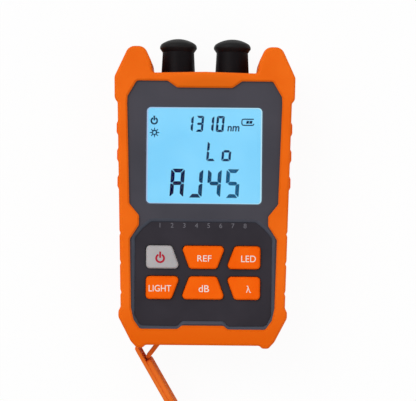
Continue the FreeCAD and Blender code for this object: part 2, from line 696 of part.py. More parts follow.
def make_rear_housing(rear_opening):
    rear = new_body("rear_housing")
    extrude(rear, "rear_block", [HOUSING], "lip", "parting_z")
    extrude(rear, "rear_cavity", [CAVITY], BACK_Z, "parting_z", cut=True)
    extrude(rear, "rear_bosses", circles(SCREWS, "boss_radius"), BACK_Z + " - boss_root", "parting_z")
    extrude(rear, "rear_screw_holes", circles(SCREWS, "screw_hole_radius"), "lip", "parting_z", cut=True)
    extrude(rear, "rear_counterbores", circles(SCREWS, "counterbore_radius"),
            "lip", "lip + counterbore_depth", cut=True)
    (left, low), (right, low), (right, high), (left, high) = rear_opening
    field = box_loop(left + " + field_inset", right + " - field_inset",
                     low + " + field_end_inset", high + " - field_end_inset")
    extrude(rear, "rear_field", [field], "lip", "lip + field_depth", cut=True)
    finish_edges(rear, "rear_field_corners", upright_at(field), "rear_round / 2")
    cut_wall_holes(rear, "rear")


def make_front_housing():
    front = new_body("front_housing")
    extrude(front, "front_block", [HOUSING], "parting_z", FRONT_Z)
    extrude(front, "front_cavity", [CAVITY], "parting_z", INNER_Z, cut=True)
    extrude(front, "front_bosses", circles(SCREWS, "boss_radius"), "parting_z", INNER_Z + " + boss_root")
    extrude(front, "front_pilots", circles(SCREWS, "pilot_radius"),
            "parting_z", "parting_z + pilot_depth", cut=True)
    extrude(front, "board_bosses", circles(BOARD_SCREWS, "board_boss_radius"),
            BOARD_TOP_Z, INNER_Z + " + boss_root")
    extrude(front, "board_pilots", circles(BOARD_SCREWS, "board_pilot_radius"),
            BOARD_TOP_Z, BOARD_TOP_Z + " + board_pilot_depth", cut=True)
    window = window_box()
    extrude(front, "window_hole", [window], INNER_Z, FRONT_Z, cut=True)
    finish_edges(front, "window_corners", upright_at(window), "window_round")
    extrude(front, "lens_rebate", [window_box("lens_lap", "lens_play")],
            INNER_Z, FRONT_Z + " - lens_skin", cut=True)
    finish_edges(front, "window_bevel",
                 level_at(FRONT_Z, (WINDOW_X + " + lens_play", WINDOW_LOW_Y + " - lens_play",
                                    WINDOW_HIGH_Y + " + lens_play")), "lens_skin / 2", "Chamfer")
    extrude(front, "keypad_recess", [mirrored(corners_of("panel"))], FLOOR_Z, FRONT_Z, cut=True)
    finish_edges(front, "keypad_recess_corners", upright_at(PANEL_CORNERS, FLOOR_Z, FRONT_Z), "panel_round")
    finish_edges(front, "keypad_bevel",
                 level_at(FRONT_Z, (corner_of("panel", "side_high")[0] + " + lens_play",
                                    corner_of("panel", "low_near")[1] + " - lens_play",
                                    corner_of("panel", "high_near")[1] + " + lens_play")),
                 "panel_bevel", "Chamfer")
    extrude(front, "key_openings", APERTURES, INNER_Z, FLOOR_Z, cut=True)
    finish_edges(front, "key_opening_corners", upright_at(APERTURE_CORNERS, INNER_Z, FLOOR_Z),
                 "key_round + key_play")
    extrude(front, "light_slot",
            [box_loop("digit_row_x - 3.5 * digit_pitch - light_half_x - light_play",
                      "digit_row_x + 3.5 * digit_pitch + light_half_x + light_play",
                      DIGIT_Y + " - light_half_y - light_play", DIGIT_Y + " + light_half_y + light_play")],
            INNER_Z, FLOOR_Z, cut=True)
    cut_wall_holes(front, "front")
    extrude(front, "charging_hole",
            [box_loop("usb_x - usb_half - socket_play", "usb_x + usb_half + socket_play",
                      BOARD_LOW_Z + " - usb_height - socket_play", BOARD_LOW_Z + " + socket_play")],
            LOW_Y, LOW_Y + " + housing_wall", plane="XZ", cut=True)


def make_keypad():
    panel = new_body("keypad_panel")
    extrude(panel, "overlay", [mirrored(corners_of("panel"))], FLOOR_Z, FLOOR_Z + " + panel_thick")
    finish_edges(panel, "overlay_corners", upright_at(PANEL_CORNERS), "panel_round")
    extrude(panel, "overlay_openings", APERTURES, FLOOR_Z, FLOOR_Z + " + panel_thick", cut=True)
    finish_edges(panel, "overlay_opening_corners", upright_at(APERTURE_CORNERS), "key_round + key_play")
    mat = new_body("keypad_mat")
    top_y = key_rows(0)[0]
    low_y = key_rows(1)[1]
    extrude(mat, "mat_sheet",
            [middle_box("key_side_x + mat_margin", low_y + " - mat_margin", top_y + " + mat_margin")],
            BOARD_TOP_Z, BOARD_TOP_Z + " + mat_thick")
    middles = []
    for column, row in KEYS.values():
        across = "(key_side_x + key_space + key_wide_x / 2 + key_narrow_x / 2) / 2"
        x = {"left": minus(across), "middle": "0", "right": across}[column]
        middles.append((x, key_rows(row)[0] + " - key_height / 2"))
    extrude(mat, "mat_domes", circles(middles, "dome_radius"),
            BOARD_TOP_Z + " + mat_thick", BOARD_TOP_Z + " + mat_thick + key_travel")
    for key_name in KEYS:
        key = new_body(key_name)
        outline = key_loop(key_name)
        extrude(key, key_name + "_cap", [outline],
                BOARD_TOP_Z + " + mat_thick + key_travel", FRONT_Z + " + key_rise")
        finish_edges(key, key_name + "_corners", upright_at(outline), "key_round")
        finish_edges(key, key_name + "_edge", level_at(FRONT_Z + " + key_rise"), "key_bevel", "Chamfer")
        extrude(key, key_name + "_flange", [key_loop(key_name, "key_flange")],
                INNER_Z + " - key_flange_gap - key_flange_thick", INNER_Z + " - key_flange_gap")


def make_display():
    lens = new_body("window_lens")
    extrude(lens, "lens_plate", [window_box("lens_lap")],
            FRONT_Z + " - lens_skin - lens_thick", FRONT_Z + " - lens_skin")
    glass = new_body("lcd_glass")
    extrude(glass, "glass_plate", [window_box("display_lap")],
            BOARD_TOP_Z + " + backlight_thick", BOARD_TOP_Z + " + backlight_thick + display_thick")
    light = new_body("lcd_backlight")
    extrude(light, "light_plate", [window_box("display_lap")], BOARD_TOP_Z, BOARD_TOP_Z + " + backlight_thick")
    frame = new_body("lcd_frame")
    extrude(frame, "frame_block", [window_box("display_lap", "lens_play", "frame_width")], BOARD_TOP_Z, INNER_Z)
    extrude(frame, "frame_hole", [window_box("display_lap", "lens_play")], BOARD_TOP_Z, INNER_Z, cut=True)


def make_board():
    board = new_body("main_board")
    neck_x = BOSS_LOW[0] + " - boss_radius - board_boss_play"
    neck_y = BOSS_LOW[1] + " + boss_radius + board_play"
    low_y = LOW_Y + " + housing_wall + board_end_play"
    wide_x = SIDE_LOW_X + " - housing_wall - board_play"
    high_y = WALL_Y + " - module_length - board_end_play"
    outline = mirrored([(neck_x, low_y), (neck_x, neck_y), (wide_x, neck_y), (wide_x, high_y)])
    extrude(board, "board_plate", [outline], BOARD_LOW_Z, BOARD_TOP_Z)
    extrude(board, "board_holes", circles(BOARD_SCREWS, "board_screw_radius + board_screw_play"),
            BOARD_LOW_Z, BOARD_TOP_Z, cut=True)
    chip = new_body("microcontroller")
    extrude(chip, "chip_block", [middle_box("chip_half", "chip_y - chip_half", "chip_y + chip_half")],
            BOARD_LOW_Z + " - chip_thick", BOARD_LOW_Z)
    lights = new_body("wire_leds")
    loops = []
    for index in range(8):
        middle = "digit_row_x + %g * digit_pitch" % (index - 3.5)
        loops.append(box_loop(middle + " - light_half_x", middle + " + light_half_x",
                              DIGIT_Y + " - light_half_y", DIGIT_Y + " + light_half_y"))
    extrude(lights, "light_blocks", loops, BOARD_TOP_Z, FLOOR_Z + " - light_gap")
    battery = new_body("battery")
    extrude(battery, "pouch",
            [middle_box("battery_half_x", "battery_y - battery_half_y", "battery_y + battery_half_y")],
            BACK_Z, BACK_Z + " + battery_thick")


MOUTH_Y = "(%s + socket_inset)" % LOW_Y


def make_network_socket():
    jack = new_body("network_socket")
    low_z = "(%s - jack_height)" % BOARD_LOW_Z
    extrude(jack, "jack_block", [box_loop("jack_x - jack_half", "jack_x + jack_half", low_z, BOARD_LOW_Z)],
            MOUTH_Y, MOUTH_Y + " + jack_length", plane="XZ")
    floor_z = "(%s + plug_floor)" % low_z
    plug_z = "(%s + plug_height)" % floor_z
    latch_z = "(%s + latch_height)" % plug_z
    hook_z = "(%s + hook_height)" % latch_z
    steps = [("plug_half", floor_z), ("plug_half", plug_z), ("latch_half", plug_z),
             ("latch_half", latch_z), ("hook_half", latch_z), ("hook_half", hook_z)]
    opening = [("jack_x + " + half, z) for half, z in steps]
    opening += [("jack_x - " + half, z) for half, z in reversed(steps)]
    extrude(jack, "plug_opening", [opening], MOUTH_Y, MOUTH_Y + " + plug_depth", plane="XZ", cut=True)
    contacts = new_body("socket_contacts")
    end_y = MOUTH_Y + " + plug_depth"
    tip_y = MOUTH_Y + " + contact_start"
    profile = [(end_y, floor_z), (end_y, floor_z + " + contact_thick"),
               (tip_y + " + contact_thick", floor_z + " + contact_rise"), (tip_y, floor_z + " + contact_rise"),
               (tip_y, floor_z + " + contact_rise - contact_thick"),
               (tip_y + " + contact_rise * 4", floor_z)]
    for index in range(8):
        middle = "jack_x + %g * contact_pitch" % (index - 3.5)
        extrude(contacts, "contact_%d" % (index + 1), [profile],
                middle + " - contact_half", middle + " + contact_half", plane="YZ")


def make_charging_socket():
    usb = new_body("charging_socket")
    low_z = "(%s - usb_height)" % BOARD_LOW_Z
    outer = box_loop("usb_x - usb_half", "usb_x + usb_half", low_z, BOARD_LOW_Z)
    extrude(usb, "usb_shell", [outer], MOUTH_Y, MOUTH_Y + " + usb_length", plane="XZ")
    finish_edges(usb, "usb_corners", line_along("y", [(number(x), number(z)) for x, z in outer]), "usb_round")
    left = "usb_x - usb_half + usb_wall"
    right = "usb_x + usb_half - usb_wall"
    under = low_z + " + usb_wall"
    over = BOARD_LOW_Z + " - usb_wall"
    opening = [(left + " + usb_corner", under), (right + " - usb_corner", under),
               (right, under + " + usb_corner"), (right, over + " - usb_corner"),
               (right + " - usb_corner", over), (left + " + usb_corner", over),
               (left, over + " - usb_corner"), (left, under + " + usb_corner")]
    end_y = MOUTH_Y + " + usb_length - usb_back"
    extrude(usb, "usb_opening", [opening], MOUTH_Y, end_y, plane="XZ", cut=True)
    tongue = new_body("charging_tongue")
    middle_z = "(%s - usb_height / 2)" % BOARD_LOW_Z
    extrude(tongue, "tongue_plate",
            [box_loop("usb_x - tongue_half", "usb_x + tongue_half",
                      middle_z + " - tongue_half_thick", middle_z + " + tongue_half_thick")],
            MOUTH_Y + " + tongue_inset", end_y, plane="XZ")


PORT_TOP_Y = "(%s + port_reach)" % HIGH_Y


def make_port(side, across):
    port = new_body("fibre_port_" + side)
    sleeve_y = PORT_TOP_Y + " - sleeve_drop"
    flange_y = WALL_Y + " - port_flange_thick"
    floor_y = HIGH_Y + " + port_floor"
    turn(port, port.Label + "_barrel", [
        ("ferrule_radius", sleeve_y + " - bore_length"), ("0", sleeve_y + " - bore_length"),
        ("0", WALL_Y + " - module_length"), ("module_radius", WALL_Y + " - module_length"),
        ("module_radius", flange_y), ("port_radius + port_flange", flange_y),
        ("port_radius + port_flange", WALL_Y), ("port_radius", WALL_Y), ("port_radius", PORT_TOP_Y),
        ("port_radius - port_wall", PORT_TOP_Y), ("port_radius - port_wall", floor_y),
        ("sleeve_radius", floor_y), ("sleeve_radius", sleeve_y), ("ferrule_radius", sleeve_y),
    ], across, "parting_z")


def make_cap(side, across):
    cap = new_body("dust_cap_" + side)
    bore = "port_radius + cap_play"
    low_y = HIGH_Y + " + cap_gap"
    neck_y = HIGH_Y + " + cap_neck"
    rim_y = neck_y + " + cap_rim_height"
    end_y = PORT_TOP_Y + " + cap_end_gap"
    turn(cap, cap.Label + "_body", [
        (bore, low_y), ("cap_base_radius", low_y), ("cap_body_radius", neck_y),
        ("cap_head_radius", neck_y + " + cap_under"), ("cap_head_radius", rim_y, "dome"),
        ("0", rim_y + " + cap_dome"), ("0", end_y), (bore, end_y),
    ], across, "parting_z")
    finish_edges(cap, cap.Label + "_rim", ring_at(rim_y, "cap_head_radius"), "cap_rim_round")
    finish_edges(cap, cap.Label + "_underside", ring_at(neck_y + " + cap_under", "cap_head_radius"),
                 "cap_under_round")


def make_torch():
    torch = new_body("torch_lens")
    top_y = HIGH_Y + " + torch_reach"
    turn(torch, "torch_body", [
        ("0", WALL_Y + " - torch_depth"), ("torch_radius + torch_flange", WALL_Y + " - torch_depth"),
        ("torch_radius + torch_flange", WALL_Y), ("torch_radius", WALL_Y),
        ("torch_radius", top_y + " - torch_dome", "dome"), ("0", top_y),
    ], "0", "parting_z")


def make_screws():
    housing_screws = new_body("housing_screws")
    head_z = "(lip + counterbore_depth)"
    tip_z = "(parting_z + pilot_depth - screw_tip_gap)"
    for index, (x, y) in enumerate(SCREWS):
        turn(housing_screws, "housing_screw_%d" % (index + 1), [
            ("0", head_z + " - screw_head_thick / 2"), ("socket_radius", head_z + " - screw_head_thick / 2"),
            ("socket_radius", head_z + " - screw_head_thick"),
            ("screw_head_radius", head_z + " - screw_head_thick"), ("screw_head_radius", head_z),
            ("screw_radius", head_z), ("screw_radius", tip_z), ("0", tip_z),
        ], x, y, plane="XZ")
    board_screws = new_body("board_screws")
    low_z = "(%s - board_screw_head_thick)" % BOARD_LOW_Z
    end_z = "(%s + board_pilot_depth - board_screw_end_gap)" % BOARD_TOP_Z
    for index, (x, y) in enumerate(BOARD_SCREWS):
        turn(board_screws, "board_screw_%d" % (index + 1), [
            ("0", low_z), ("board_screw_head_radius", low_z), ("board_screw_head_radius", BOARD_LOW_Z),
            ("board_screw_radius", BOARD_LOW_Z), ("board_screw_radius", end_z), ("0", end_z),
        ], x, y, plane="XZ")


HINGE_X = minus(FOOT_STEP_X + " - hinge_inset")
HINGE_Y = LOW_Y + " - hinge_depth"
HINGE_Z = "(bay_low_z + bay_high_z) / 2"


def make_strap():
    """Drawn along its own X axis from the bend at the boot, then set as it hangs."""
    strap = new_body("flap_strap")
    near = "-strap_half_thick"
    far = "strap_length + strap_half_thick"
    outline = box_loop(near, far, "-strap_half_thick", "strap_half_thick")
    extrude(strap, "strap_bar", [outline], "-strap_half_width", "strap_half_width")
    finish_edges(strap, "strap_ends", upright_at(outline), "strap_half_thick * 0.98")
    for axis, text in zip("xyz", (HINGE_X, HINGE_Y, HINGE_Z)):
        strap.setExpression(".Placement.Base." + axis, bound(text))
    strap.setExpression(".Placement.Rotation.Angle", bound("strap_angle"))


def make_flap():
    """Drawn lying flat, outer face down, with its length along X from the bend at the strap."""
    flap = new_body("port_flap")
    half_width = "((bay_high_z - bay_low_z) / 2 - flap_side_gap)"
    length = "(%s - bay_inset - (%s) - strap_length - flap_end_gap)" % (FOOT_STEP_X, HINGE_X)
    plate = box_loop("-flap_tip", length, minus(half_width), half_width)
    extrude(flap, "flap_plate", [plate], "0", "flap_skin")
    finish_edges(flap, "flap_plate_corners", upright_at(plate), "flap_round")
    finish_edges(flap, "flap_outer_edge", level_at("0"), "flap_bevel", "Chamfer")
    block_half = half_width + " - flap_block_inset"
    block = box_loop("strap_half_thick + flap_block_gap", length + " - 2 * flap_block_inset",
                     minus(block_half), block_half)
    block_top = "flap_drop + flap_block_top"
    extrude(flap, "flap_block", [block], "flap_skin", block_top)
    finish_edges(flap, "flap_block_corners", upright_at(block), "flap_round * 0.75")
    finish_edges(flap, "flap_inner_edge", level_at(block_top), "flap_bevel", "Chamfer")
    on_edge = FreeCAD.Rotation(FreeCAD.Vector(1, 0, 0), -90)
    hang = FreeCAD.Rotation(FreeCAD.Vector(0, 0, 1), number("flap_angle")).multiply(on_edge)
    direction = math.radians(number("strap_angle"))
    strap_vector = FreeCAD.Vector(math.cos(direction), math.sin(direction), 0) * number("strap_length")
    bend = FreeCAD.Vector(number(HINGE_X), number(HINGE_Y), number(HINGE_Z)) + strap_vector
    flap.Placement = FreeCAD.Placement(bend - hang.multVec(FreeCAD.Vector(0, 0, number("flap_drop"))), hang)


def write_parts():
    os.makedirs("parts", exist_ok=True)
    for body in doc.findObjects("PartDesign::Body"):
        for piece in [body] + list(body.Group):
            if "Invalid" in piece.State or "Error" in piece.State:
                raise RuntimeError("%s: %s %s" % (body.Label, piece.Name, piece.State))
        if body.Shape.isNull() or not body.Shape.isValid():
            raise RuntimeError(body.Label + " has no valid shape")
        body.Shape.exportStep("parts/%s.step" % body.Label)


make_rear_housing(make_boot())
make_front_housing()
make_keypad()
make_display()
make_board()
make_network_socket()
make_charging_socket()
for side, across in (("left", minus("port_x")), ("right", "port_x")):
    make_port(side, across)
    make_cap(side, across)
make_torch()
make_screws()
make_strap()
make_flap()
doc.removeObject(work.Name)
doc.recompute()
write_parts()
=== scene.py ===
import math

import bmesh
import bpy
from mathutils import Matrix, Vector


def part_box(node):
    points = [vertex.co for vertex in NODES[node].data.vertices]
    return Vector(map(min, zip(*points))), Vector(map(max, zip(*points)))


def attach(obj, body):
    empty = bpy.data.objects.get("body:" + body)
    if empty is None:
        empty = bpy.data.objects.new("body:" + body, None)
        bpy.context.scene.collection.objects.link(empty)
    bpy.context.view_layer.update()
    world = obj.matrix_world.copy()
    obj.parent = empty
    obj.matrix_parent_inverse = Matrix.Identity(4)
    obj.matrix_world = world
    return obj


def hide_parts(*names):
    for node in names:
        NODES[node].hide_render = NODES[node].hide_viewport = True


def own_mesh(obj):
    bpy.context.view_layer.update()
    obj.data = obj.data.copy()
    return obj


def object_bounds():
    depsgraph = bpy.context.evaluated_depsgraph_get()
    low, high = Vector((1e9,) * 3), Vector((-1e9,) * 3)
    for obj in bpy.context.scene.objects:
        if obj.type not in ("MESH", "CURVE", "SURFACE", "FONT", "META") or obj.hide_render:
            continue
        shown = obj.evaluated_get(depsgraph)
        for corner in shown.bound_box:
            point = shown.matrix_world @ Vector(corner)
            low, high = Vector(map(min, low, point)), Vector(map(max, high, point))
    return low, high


# Looks of the optical power meter. Metres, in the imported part's frame: +X right and +Y towards
# the fibre ports, both seen from the display, and +Z out of the display. Flat marks are laid out
# in millimetres.

MM = 0.001
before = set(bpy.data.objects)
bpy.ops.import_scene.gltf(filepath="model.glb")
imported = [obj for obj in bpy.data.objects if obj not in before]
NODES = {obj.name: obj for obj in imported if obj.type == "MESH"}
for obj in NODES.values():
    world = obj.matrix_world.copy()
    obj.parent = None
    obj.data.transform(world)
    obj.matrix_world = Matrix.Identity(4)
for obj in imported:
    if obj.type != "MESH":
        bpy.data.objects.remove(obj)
cad_box = [list(corner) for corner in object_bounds()]

# Heights of the surfaces that marks lie on, and how thick a mark is
GLASS_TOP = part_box("lcd_glass")[1].z
PANEL_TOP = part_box("keypad_panel")[1].z
KEY_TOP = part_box("key_ref")[1].z
INK_THICK = 0.03 * MM


# Colour and shader helpers

# Noise mostly stays between these values
NOISE_LOW = 0.3
NOISE_HIGH = 0.7


def srgb(red, green, blue):
    """A colour as it looks on a screen, 0 to 255, for a shader socket."""
    def linear(value):
        share = value / 255
        return share / 12.92 if share <= 0.04045 else ((share + 0.055) / 1.055) ** 2.4
    return (linear(red), linear(green), linear(blue), 1.0)


class Shader:
    """A material and the few kinds of node that this scene uses."""

    def __init__(self, name, roughness, metallic=0.0, specular=0.5):
        self.material = bpy.data.materials.new(name)
        self.material.use_nodes = True
        self.tree = self.material.node_tree
        self.surface = self.tree.nodes["Principled BSDF"]
        self.place = self.tree.nodes.new("ShaderNodeTexCoord").outputs["Object"]
        self.even("Roughness", roughness)
        self.even("Metallic", metallic)
        self.even("Specular IOR Level", specular)

    def even(self, socket, value):
        """Sets what is the same all over the surface."""
        self.surface.inputs[socket].default_value = value

    def noise(self, size, detail=3.0, stretch=None):
        """Noise whose grain is about size metres across."""
        node = self.tree.nodes.new("ShaderNodeTexNoise")
        node.inputs["Scale"].default_value = 1 / size
        node.inputs["Detail"].default_value = detail
        source = self.place
        if stretch:
            mapping = self.tree.nodes.new("ShaderNodeMapping")
            mapping.inputs["Scale"].default_value = stretch
            self.tree.links.new(source, mapping.inputs["Vector"])
            source = mapping.outputs["Vector"]
        self.tree.links.new(source, node.inputs["Vector"])
        return node.outputs["Fac"]

    def ramp(self, source, low, high, low_at=0.35, high_at=0.65):
        """A colour that goes from low to high as source goes from low_at to high_at."""
        node = self.tree.nodes.new("ShaderNodeValToRGB")
        first, last = node.color_ramp.elements
        first.position = low_at
        first.color = low
        last.position = high_at
        last.color = high
        self.tree.links.new(source, node.inputs["Fac"])
        return node.outputs["Color"]

    def map_range(self, source, start, end, low=0.0, high=1.0):
        """A value that goes from low to high as source goes from start to end."""
        node = self.tree.nodes.new("ShaderNodeMapRange")
        node.inputs["From Min"].default_value = start
        node.inputs["From Max"].default_value = end
        node.inputs["To Min"].default_value = low
        node.inputs["To Max"].default_value = high
        self.tree.links.new(source, node.inputs["Value"])
        return node.outputs["Result"]

    def axis_of(self, vector, axis):
        """One axis of a vector."""
        split = self.tree.nodes.new("ShaderNodeSeparateXYZ")
        self.tree.links.new(vector, split.inputs["Vector"])
        return split.outputs[axis]

    def along(self, axis, start, end):
        """0 to 1 as a place goes from start to end along an axis."""
        return self.map_range(self.axis_of(self.place, axis), start, end)

    def spread(self, noise, low, high):
        """A value that goes from low to high with noise."""
        return self.map_range(noise, NOISE_LOW, NOISE_HIGH, low, high)

    def slant(self, start, end):
        """0 on faces that look along Z, up or down, to 1 on faces that lean away from it. Start and
        end are the lengths of the normal's part along Z."""
        normal = self.tree.nodes.new("ShaderNodeTexCoord").outputs["Normal"]
        upright = self.tree.nodes.new("ShaderNodeMath")
        upright.operation = "ABSOLUTE"
        self.tree.links.new(self.axis_of(normal, "Z"), upright.inputs[0])
        return self.map_range(upright.outputs["Value"], start, end)

    def patch(self, centre, radii, border):
        """1 inside an oval patch, to 0 outside it, over a border that is a share of its radii."""
        shift = self.tree.nodes.new("ShaderNodeMapping")
        shift.vector_type = "TEXTURE"
        shift.inputs["Location"].default_value = centre
        shift.inputs["Scale"].default_value = radii
        self.tree.links.new(self.place, shift.inputs["Vector"])
        reach = self.tree.nodes.new("ShaderNodeVectorMath")
        reach.operation = "LENGTH"
        self.tree.links.new(shift.outputs["Vector"], reach.inputs[0])
        return self.map_range(reach.outputs["Value"], 1 + border, 1 - border)

    def blend(self, share, first, last):
        """From a colour socket to a fixed colour as share goes from 0 to 1."""
        node = self.tree.nodes.new("ShaderNodeMix")
        node.data_type = "RGBA"
        self.tree.links.new(share, node.inputs["Factor"])
        self.tree.links.new(first, node.inputs["A"])
        node.inputs["B"].default_value = last
        return node.outputs["Result"]

    def paint(self, colour):
        self.tree.links.new(colour, self.surface.inputs["Base Color"])

    def gloss(self, roughness):
        self.tree.links.new(roughness, self.surface.inputs["Roughness"])

    def glow(self, colour, strength):
        self.tree.links.new(colour, self.surface.inputs["Emission Color"])
        self.even("Emission Strength", strength)

    def bump(self, source, height):
        """Relief, with its height in metres."""
        node = self.tree.nodes.new("ShaderNodeBump")
        node.inputs["Strength"].default_value = 1.0
        node.inputs["Distance"].default_value = height
        self.tree.links.new(source, node.inputs["Height"])
        self.tree.links.new(node.outputs["Normal"], self.surface.inputs["Normal"])


# Kinds of material

ROUGHNESS_DRIFT = 0.06
STREAK_SIZE = 0.5 * MM
STREAK_RELIEF = 0.003 * MM
STREAK_SMOOTHER = 0.05
STREAK_ROUGHER = 0.08
INK_SPECK = 0.25 * MM
INK_FADE = 0.86


def moulded(name, low, high, roughness, grain=0.35 * MM, relief=0.008 * MM, cloud=14 * MM, specular=0.3):
    """A moulded material: its colour drifts a little between low and high, over a fine grain."""
    shader = Shader(name, roughness, specular=specular)
    drift = shader.noise(cloud, detail=4.0)
    fine = shader.noise(grain, detail=2.0)
    shader.colour = shader.ramp(drift, low, high)
    shader.paint(shader.colour)
    shader.gloss(shader.spread(drift, roughness - ROUGHNESS_DRIFT, roughness + ROUGHNESS_DRIFT))
    shader.bump(fine, relief)
    return shader


def metal(name, low, high, roughness, brushed):
    """Metal with fine streaks. The larger a number of brushed, the finer they are along its axis."""
    shader = Shader(name, roughness, metallic=1.0)
    streaks = shader.noise(STREAK_SIZE, stretch=brushed)
    shader.paint(shader.ramp(streaks, low, high))
    shader.gloss(shader.spread(streaks, roughness - STREAK_SMOOTHER, roughness + STREAK_ROUGHER))
    shader.bump(streaks, STREAK_RELIEF)
    return shader


def printed(name, colour):
    """Ink: the colour is broken up very slightly, as a screen print is."""
    shader = Shader(name, 0.45, specular=0.2)
    weaker = tuple(INK_FADE * value for value in colour[:3]) + (1.0,)
    shader.paint(shader.ramp(shader.noise(INK_SPECK), weaker, colour))
    return shader


# Materials

# Painted shade on the boot: its colour darkens towards the feet, between these places along Y, and in an
# oval patch on the tab above the display
FEET_SHADE_START = -48 * MM
FEET_SHADE_END = -64 * MM
TAB_SHADE_MIDDLE = (2.5 * MM, 48.5 * MM, 34 * MM)
TAB_SHADE_RADII = (20 * MM, 6 * MM, 8 * MM)
TAB_SHADE_BORDER = 0.36


def boot_rubber():
    """Orange rubber, with painted shade that darkens it towards the feet and on the tab above the display.
    """
    shader = moulded("boot_rubber_look", srgb(242, 105, 13), srgb(250, 113, 21), 0.58, grain=0.28 * MM,
                     relief=0.012 * MM, cloud=22 * MM, specular=0.06)
    feet_shade = shader.along("Y", FEET_SHADE_START, FEET_SHADE_END)
    tab_shade = shader.patch(TAB_SHADE_MIDDLE, TAB_SHADE_RADII, TAB_SHADE_BORDER)
    # Painted shade: darker towards the feet, and in an oval patch on the tab above the display
    feet_shaded = shader.blend(feet_shade, shader.colour, srgb(236, 99, 3))
    shader.paint(shader.blend(tab_shade, feet_shaded, srgb(229, 104, 13)))
    shader.even("Subsurface Weight", 0.06)
    shader.even("Subsurface Radius", (1.0, 0.35, 0.12))
    shader.even("Subsurface Scale", 1.2 * MM)
    return shader


def housing_plastic():
    """Finely textured plastic. Its slanting borders are painted lighter and bluer, a painted highlight."""
    shader = moulded("housing_look", srgb(53, 52, 61), srgb(61, 59, 68), 0.45, grain=0.22 * MM,
                     relief=0.010 * MM, cloud=30 * MM, specular=0.27)
    # Painted highlight: faces that slant away from Z are painted lighter and bluer
    shader.paint(shader.blend(shader.slant(0.97, 0.8), shader.colour, srgb(74, 78, 90)))
    return shader


def key_plastic(name, low, high):
    shader = moulded(name, low, high, 0.40, grain=0.18 * MM, relief=0.005 * MM, cloud=9 * MM, specular=0.06)
    shader.even("Subsurface Weight", 0.05)
    shader.even("Subsurface Scale", 0.8 * MM)
    return shader


# How far behind a cap's tip the painted highlight on the head starts, and where it is full
CAP_HIGHLIGHT_START = 6.5 * MM
CAP_HIGHLIGHT_FULL = 2 * MM


def cap_rubber():
    """Black rubber, with a painted highlight: the head is painted a little paler than the neck."""
    shader = moulded("cap_look", srgb(10, 7, 9), srgb(16, 12, 15), 0.5, grain=0.3 * MM,
                     relief=0.010 * MM, cloud=7 * MM, specular=0.07)
    tip = max(vertex.co.y for vertex in NODES["dust_cap_left"].data.vertices)
    head_highlight = shader.along("Y", tip - CAP_HIGHLIGHT_START, tip - CAP_HIGHLIGHT_FULL)
    # Painted highlight: the head paler than the neck, where light falls on the dome
    shader.paint(shader.blend(head_highlight, shader.colour, srgb(38, 38, 38)))
    return shader


UNLIT_DISPLAY = srgb(20, 40, 60)
DISPLAY_GLOW = 0.93
BACKLIGHT_GLOW = 0.4


def display_light():
    """The lit display: light blue, a little deeper in places."""
    shader = Shader("display_look", 0.3)
    drift = shader.noise(30 * MM, detail=2.0)
    shader.even("Base Color", UNLIT_DISPLAY)
    shader.glow(shader.ramp(drift, srgb(114, 207, 250), srgb(127, 215, 254)), DISPLAY_GLOW)
    return shader


def backlight_sheet():
    """The glowing sheet behind the display, a little brighter in places."""
    shader = Shader("backlight_look", 0.4)
    colour = shader.ramp(shader.noise(3 * MM), srgb(204, 230, 244), srgb(214, 238, 250))
    shader.paint(colour)
    shader.glow(colour, BACKLIGHT_GLOW)
    return shader


def window_plastic():
    """A clear plate with a faint ripple."""
    shader = Shader("window_look", 0.06)
    shader.even("Base Color", (1.0, 1.0, 1.0, 1.0))
    shader.even("Transmission Weight", 1.0)
    shader.even("IOR", 1.2)
    shader.bump(shader.noise(12 * MM, detail=1.0), 0.002 * MM)
    return shader


def torch_plastic():
    """Clear plastic, smoother in places."""
    shader = Shader("torch_look", 0.12)
    shader.even("Base Color", srgb(240, 244, 246))
    shader.even("Transmission Weight", 0.9)
    shader.even("IOR", 1.45)
    shader.gloss(shader.spread(shader.noise(2 * MM), 0.08, 0.2))
    return shader


def display_ink(name, near, far, start, end):
    """Display segments: their shade changes across the row, as it does on a display seen aslant."""
    shader = Shader(name, 0.5, specular=0.0)
    shader.paint(shader.ramp(shader.along("X", start, end), near, far, 0.0, 1.0))
    return shader


